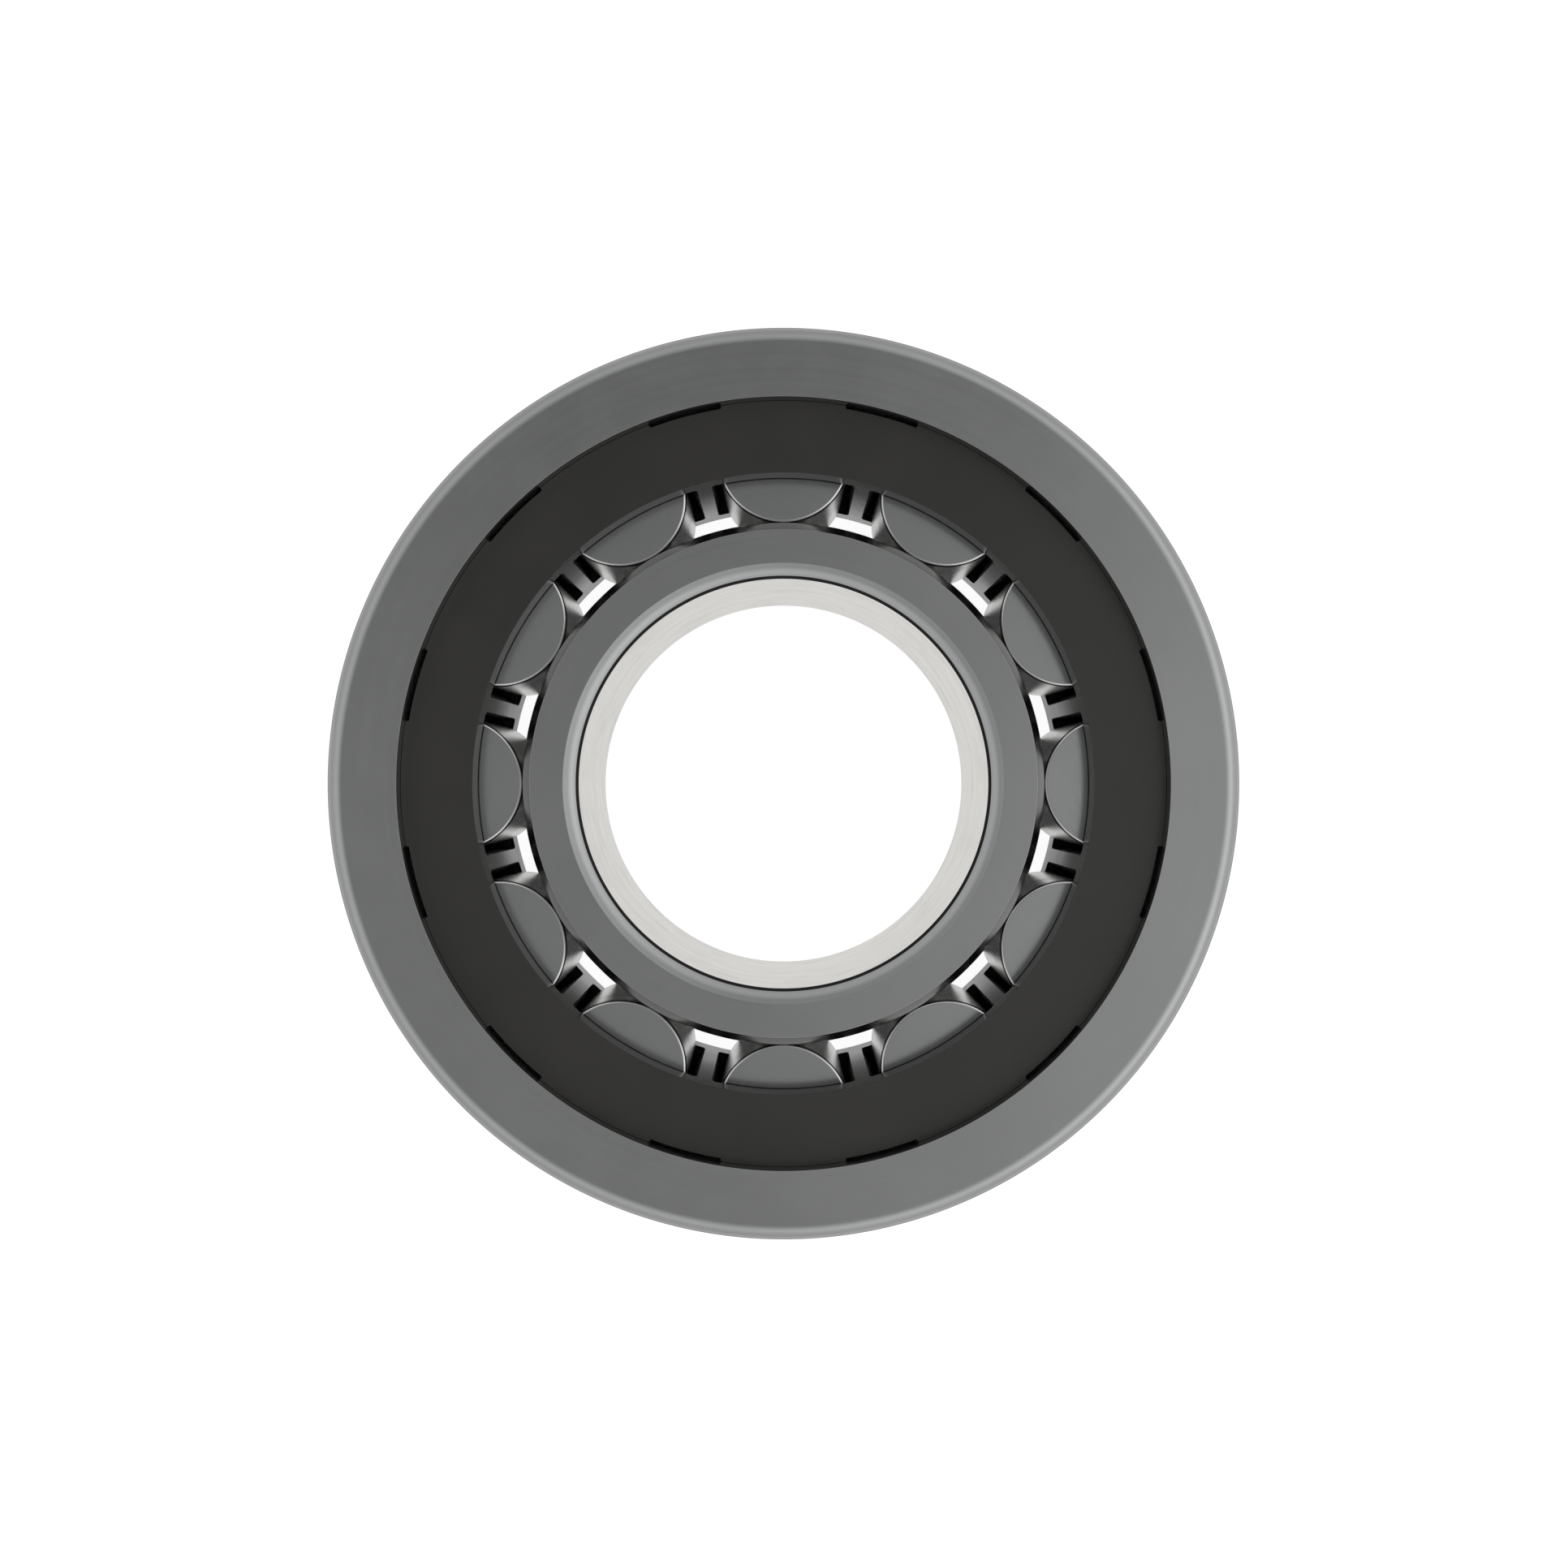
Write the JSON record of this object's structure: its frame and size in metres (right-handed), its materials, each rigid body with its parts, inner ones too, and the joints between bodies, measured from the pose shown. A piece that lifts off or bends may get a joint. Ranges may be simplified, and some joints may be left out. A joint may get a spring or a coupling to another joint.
{
  "type": "cylindrical roller bearing",
  "caption": "Single-row cylindrical roller bearing with a flanged outer ring, an inner ring with one flange at the back, steel rollers and a dark moulded window cage.",
  "frame": {"origin": "centre of the bearing: on its axis, halfway across its width", "axes": "+Z along the bearing axis toward the face that is up when the bearing lies flat; the first roller stands on +Y and the others follow clockwise seen from +Z"},
  "size_m": [0.1, 0.1, 0.036],
  "materials": {
    "ring_steel": "ground satin, through-hardened bearing steel",
    "roller_steel": "fine ground and honed bearing steel",
    "cage_plastic": "dark glass-fibre-filled polyamide, moulded"
  },
  "bodies": {
    "outer_ring": {"outer_ring": "ring_steel"},
    "inner_ring": {"inner_ring": "ring_steel"},
    "cage": {"cage": "cage_plastic"},
    "roller_01": {"roller_01": "roller_steel"},
    "roller_02": {"roller_02": "roller_steel"},
    "roller_03": {"roller_03": "roller_steel"},
    "roller_04": {"roller_04": "roller_steel"},
    "roller_05": {"roller_05": "roller_steel"},
    "roller_06": {"roller_06": "roller_steel"},
    "roller_07": {"roller_07": "roller_steel"},
    "roller_08": {"roller_08": "roller_steel"},
    "roller_09": {"roller_09": "roller_steel"},
    "roller_10": {"roller_10": "roller_steel"},
    "roller_11": {"roller_11": "roller_steel"},
    "roller_12": {"roller_12": "roller_steel"}
  },
  "joints": [
    {"name": "inner_ring_spin", "type": "hinge", "parent": "outer_ring", "child": "inner_ring", "pos_m": [0, 0, 0], "axis": [0, 0, 1], "continuous": true},
    {"name": "cage_spin", "type": "hinge", "parent": "outer_ring", "child": "cage", "pos_m": [0, 0, 0], "axis": [0, 0, 1], "continuous": true},
    {"name": "roller_01_spin", "type": "hinge", "parent": "cage", "child": "roller_01", "pos_m": [0, 0.03675, 0], "axis": [0, 0, 1], "continuous": true},
    {"name": "roller_02_spin", "type": "hinge", "parent": "cage", "child": "roller_02", "pos_m": [0.01837, 0.03183, 0], "axis": [0, 0, 1], "continuous": true},
    {"name": "roller_03_spin", "type": "hinge", "parent": "cage", "child": "roller_03", "pos_m": [0.03183, 0.01837, 0], "axis": [0, 0, 1], "continuous": true},
    {"name": "roller_04_spin", "type": "hinge", "parent": "cage", "child": "roller_04", "pos_m": [0.03675, 0, 0], "axis": [0, 0, 1], "continuous": true},
    {"name": "roller_05_spin", "type": "hinge", "parent": "cage", "child": "roller_05", "pos_m": [0.03183, -0.01837, 0], "axis": [0, 0, 1], "continuous": true},
    {"name": "roller_06_spin", "type": "hinge", "parent": "cage", "child": "roller_06", "pos_m": [0.01837, -0.03183, 0], "axis": [0, 0, 1], "continuous": true},
    {"name": "roller_07_spin", "type": "hinge", "parent": "cage", "child": "roller_07", "pos_m": [0, -0.03675, 0], "axis": [0, 0, 1], "continuous": true},
    {"name": "roller_08_spin", "type": "hinge", "parent": "cage", "child": "roller_08", "pos_m": [-0.01837, -0.03183, 0], "axis": [0, 0, 1], "continuous": true},
    {"name": "roller_09_spin", "type": "hinge", "parent": "cage", "child": "roller_09", "pos_m": [-0.03183, -0.01837, 0], "axis": [0, 0, 1], "continuous": true},
    {"name": "roller_10_spin", "type": "hinge", "parent": "cage", "child": "roller_10", "pos_m": [-0.03675, 0, 0], "axis": [0, 0, 1], "continuous": true},
    {"name": "roller_11_spin", "type": "hinge", "parent": "cage", "child": "roller_11", "pos_m": [-0.03183, 0.01837, 0], "axis": [0, 0, 1], "continuous": true},
    {"name": "roller_12_spin", "type": "hinge", "parent": "cage", "child": "roller_12", "pos_m": [-0.01837, 0.03183, 0], "axis": [0, 0, 1], "continuous": true}
  ],
  "couplings": [
    {"joint": "cage_spin", "follows": "inner_ring_spin", "ratio": 0.39796},
    {"joint": "roller_01_spin", "follows": "inner_ring_spin", "ratio": -2.348},
    {"joint": "roller_02_spin", "follows": "inner_ring_spin", "ratio": -2.348},
    {"joint": "roller_03_spin", "follows": "inner_ring_spin", "ratio": -2.348},
    {"joint": "roller_04_spin", "follows": "inner_ring_spin", "ratio": -2.348},
    {"joint": "roller_05_spin", "follows": "inner_ring_spin", "ratio": -2.348},
    {"joint": "roller_06_spin", "follows": "inner_ring_spin", "ratio": -2.348},
    {"joint": "roller_07_spin", "follows": "inner_ring_spin", "ratio": -2.348},
    {"joint": "roller_08_spin", "follows": "inner_ring_spin", "ratio": -2.348},
    {"joint": "roller_09_spin", "follows": "inner_ring_spin", "ratio": -2.348},
    {"joint": "roller_10_spin", "follows": "inner_ring_spin", "ratio": -2.348},
    {"joint": "roller_11_spin", "follows": "inner_ring_spin", "ratio": -2.348},
    {"joint": "roller_12_spin", "follows": "inner_ring_spin", "ratio": -2.348}
  ]
}
